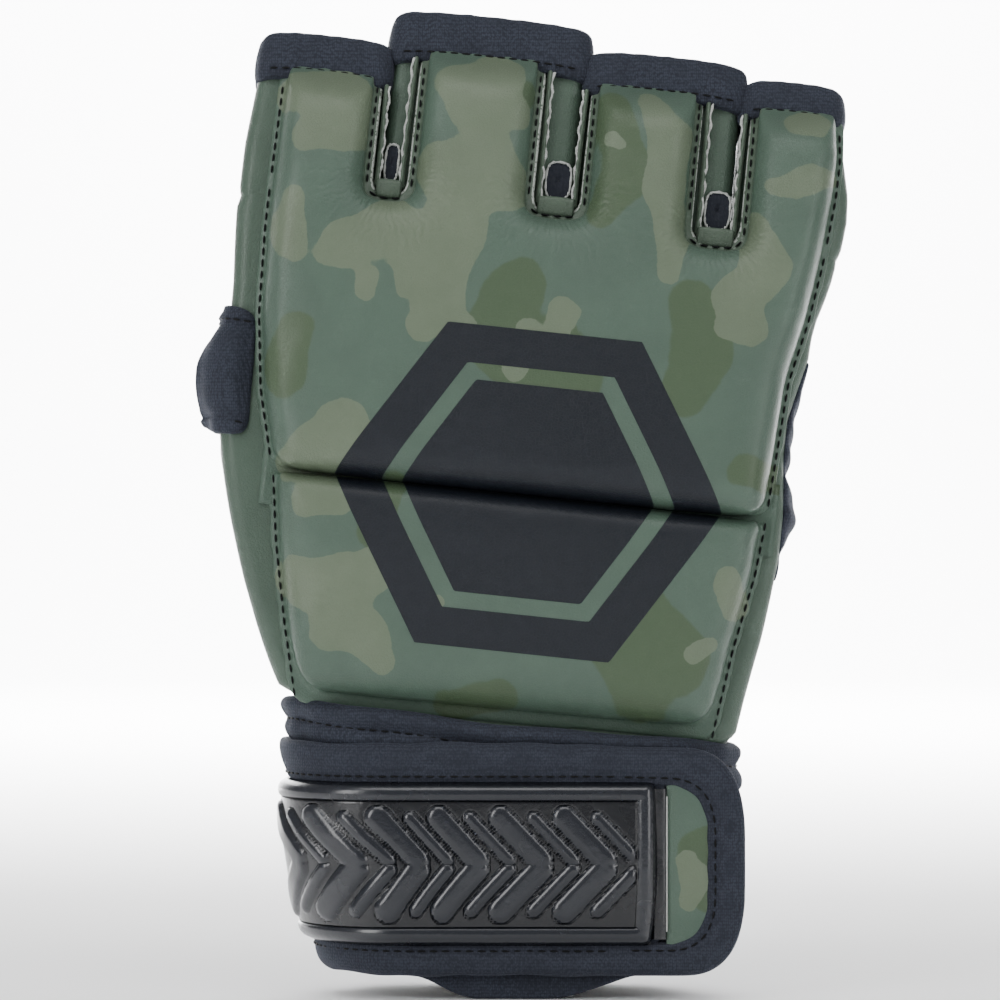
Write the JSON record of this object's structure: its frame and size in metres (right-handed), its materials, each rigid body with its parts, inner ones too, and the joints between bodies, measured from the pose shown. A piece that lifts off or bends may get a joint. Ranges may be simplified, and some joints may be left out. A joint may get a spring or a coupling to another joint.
{
  "type": "mma glove",
  "caption": "Open-finger grappling glove with a padded two-piece back, finger tubes, a thumb hole, an open palm and a wrist strap that wraps round the cuff.",
  "frame": {"origin": "centre of the bounding box's lower face, where the cuff's lower hem stands", "axes": "+X towards the little finger, +Y from the back of the hand towards the palm, +Z from the wrist towards the fingertips"},
  "size_m": [0.1488, 0.056, 0.2211],
  "materials": {
    "camo_leather": "semi-gloss printed synthetic leather, olive camouflage",
    "plain_leather": "semi-matte olive synthetic leather",
    "edge_leather": "cut edge of the leather, pale",
    "foam": "closed-cell foam",
    "lining": "dark brushed lining cloth",
    "knit_binding": "matte black-navy knit binding",
    "hook_and_loop": "black hook-and-loop tape",
    "strap_cloth": "black strap webbing cloth",
    "badge_rubber": "glossy embossed moulded badge"
  },
  "bodies": {
    "back_of_hand": {"wrist_cuff": "strap_cloth", "cuff_upper_band": "strap_cloth", "cuff_top_binding": "knit_binding", "loop_patch": "hook_and_loop", "back_lining": "lining", "back_pad_foam": "foam", "back_pad_cover": "camo_leather", "thumb_side_panel": "plain_leather", "little_side_panel": "plain_leather", "palm_heel_panel": "plain_leather", "palm_heel_binding": "knit_binding", "strap_root": "strap_cloth", "strap_root_binding": "knit_binding"},
    "knuckles": {"knuckle_pad_foam": "foam", "knuckle_pad_cover": "camo_leather", "knuckle_lining": "lining", "thumb_side_upper_panel": "plain_leather", "thumb_sleeve": "knit_binding", "little_side_upper_panel": "plain_leather", "little_side_gusset": "knit_binding", "palm_bridge_panel": "plain_leather", "palm_bridge_binding": "knit_binding", "index_middle_slot_tab": "edge_leather", "middle_ring_slot_tab": "edge_leather", "ring_little_slot_tab": "edge_leather"},
    "strap": {"strap_panel": "strap_cloth", "strap_binding": "knit_binding", "badge": "badge_rubber", "badge_end_strip": "strap_cloth", "hook_patch": "hook_and_loop"},
    "strap_tip": {"strap_tip_panel": "camo_leather", "strap_tip_binding": "knit_binding", "tip_hook_patch": "hook_and_loop"},
    "index_finger": {"index_finger_tube": "plain_leather", "index_finger_binding": "knit_binding", "index_finger_foam": "foam", "index_finger_cover": "camo_leather", "index_slot_facing": "edge_leather"},
    "middle_finger": {"middle_finger_tube": "plain_leather", "middle_finger_binding": "knit_binding", "middle_finger_foam": "foam", "middle_finger_cover": "camo_leather", "middle_slot_facing": "edge_leather"},
    "ring_finger": {"ring_finger_tube": "plain_leather", "ring_finger_binding": "knit_binding", "ring_finger_foam": "foam", "ring_finger_cover": "camo_leather", "ring_slot_facing": "edge_leather"},
    "little_finger": {"little_finger_tube": "plain_leather", "little_finger_binding": "knit_binding", "little_finger_foam": "foam", "little_finger_cover": "camo_leather", "little_slot_facing": "edge_leather"}
  },
  "joints": [
    {"name": "knuckle_fold", "type": "hinge", "parent": "back_of_hand", "child": "knuckles", "pos_m": [-0.00083, -0.0115, 0.1117], "axis": [-0.9945, 0, 0.1045], "range_deg": [0, 25], "stiffness_Nm_per_rad": 0.4, "deforming": ["little_side_gusset"]},
    {"name": "index_flex", "type": "hinge", "parent": "knuckles", "child": "index_finger", "pos_m": [-0.04771, -0.00434, 0.18513], "axis": [-0.9945, 0, 0.1045], "range_deg": [0, 40], "stiffness_Nm_per_rad": 0.06},
    {"name": "middle_flex", "type": "hinge", "parent": "knuckles", "child": "middle_finger", "pos_m": [-0.01076, -0.00434, 0.18125], "axis": [-0.9945, 0, 0.1045], "range_deg": [0, 40], "stiffness_Nm_per_rad": 0.06},
    {"name": "ring_flex", "type": "hinge", "parent": "knuckles", "child": "ring_finger", "pos_m": [0.02874, -0.00437, 0.17679], "axis": [-0.9945, 0, 0.1045], "range_deg": [0, 40], "stiffness_Nm_per_rad": 0.06},
    {"name": "little_flex", "type": "hinge", "parent": "knuckles", "child": "little_finger", "pos_m": [0.05851, -0.00468, 0.17067], "axis": [-0.9945, 0, 0.1045], "range_deg": [0, 40], "stiffness_Nm_per_rad": 0.06},
    {"name": "strap_open", "type": "hinge", "parent": "back_of_hand", "child": "strap", "pos_m": [-0.0566, 0.0045, 0.0309], "axis": [0, 0, -1], "range_deg": [0, 140]},
    {"name": "strap_tip_peel", "type": "hinge", "parent": "strap", "child": "strap_tip", "pos_m": [0.0316, -0.02235, 0.0309], "axis": [0, 0, -1], "range_deg": [0, 60], "stiffness_Nm_per_rad": 0.02}
  ]
}
